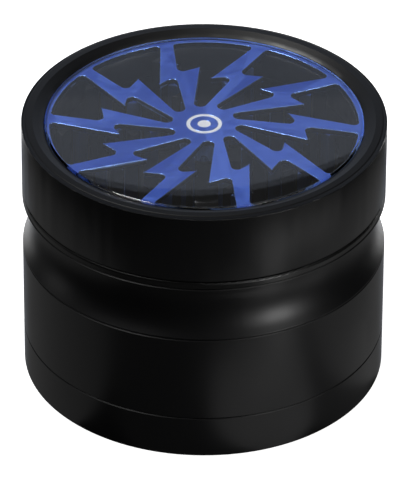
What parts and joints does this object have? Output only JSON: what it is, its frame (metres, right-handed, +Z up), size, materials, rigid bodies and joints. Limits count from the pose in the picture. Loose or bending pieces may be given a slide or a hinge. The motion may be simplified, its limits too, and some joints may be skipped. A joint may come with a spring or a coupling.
{
  "type": "herb grinder",
  "caption": "Round hand-held herb grinder in screwed aluminium sections with a waist, a windowed lid over a zigzag-spoked plate, diamond teeth, a sieve and a base cup.",
  "frame": {"origin": "centre of the base cup's flat underside", "axes": "+Z up along the axis that every section turns about; -Y is the front that the picture shows"},
  "size_m": [0.062, 0.062, 0.0482],
  "materials": {
    "black_anodised": "black anodised, satin",
    "blue_anodised": "blue anodised, satin",
    "acrylic": "clear, polished",
    "mark_white": "white paint fill",
    "seal_rubber": "matt",
    "glide_polymer": "black acetal, turned",
    "sieve_steel": "woven stainless wire",
    "spring_steel": "bright spring steel",
    "magnet_nickel": "nickel plated"
  },
  "bodies": {
    "base": {"base_cup": "black_anodised"},
    "base_seal_ring": {"base_seal": "seal_rubber"},
    "collector": {"collector_body": "black_anodised", "sieve_mesh": "sieve_steel", "sieve_frame": "spring_steel", "sieve_retaining_ring": "spring_steel"},
    "chamber_seal_ring": {"chamber_seal": "seal_rubber"},
    "chamber": {"chamber_body": "black_anodised", "chamber_teeth_inner": "black_anodised", "chamber_teeth_middle": "black_anodised", "chamber_teeth_outer": "black_anodised", "chamber_magnet": "magnet_nickel"},
    "glide": {"glide_ring": "glide_polymer"},
    "lid": {"lid_ring": "black_anodised", "spoke_plate": "blue_anodised", "lid_teeth_inner": "blue_anodised", "lid_teeth_middle": "blue_anodised", "lid_teeth_outer": "blue_anodised", "lid_magnet": "magnet_nickel", "window_disc": "acrylic", "centre_mark": "mark_white"}
  },
  "joints": [
    {"name": "base_rise", "type": "slide", "parent": "base", "child": "base_seal_ring", "axis": [0, 0, 1], "range_m": [0, 0.0045]},
    {"name": "base_unscrew", "type": "hinge", "parent": "base_seal_ring", "child": "collector", "pos_m": [0, 0, 0.0078], "axis": [0, 0, 1], "range_deg": [0, 541]},
    {"name": "chamber_rise", "type": "slide", "parent": "collector", "child": "chamber_seal_ring", "axis": [0, 0, 1], "range_m": [0, 0.0045]},
    {"name": "chamber_unscrew", "type": "hinge", "parent": "chamber_seal_ring", "child": "chamber", "pos_m": [0, 0, 0.02375], "axis": [0, 0, 1], "range_deg": [0, 541]},
    {"name": "lid_spin", "type": "hinge", "parent": "chamber", "child": "glide", "pos_m": [0, 0, 0.03545], "axis": [0, 0, 1], "continuous": true},
    {"name": "lid_lift", "type": "slide", "parent": "glide", "child": "lid", "axis": [0, 0, 1], "range_m": [0, 0.04]}
  ],
  "couplings": [
    {"joint": "base_unscrew", "follows": "base_rise", "rad_per_m": 2094.4},
    {"joint": "chamber_unscrew", "follows": "chamber_rise", "rad_per_m": 2094.4}
  ]
}
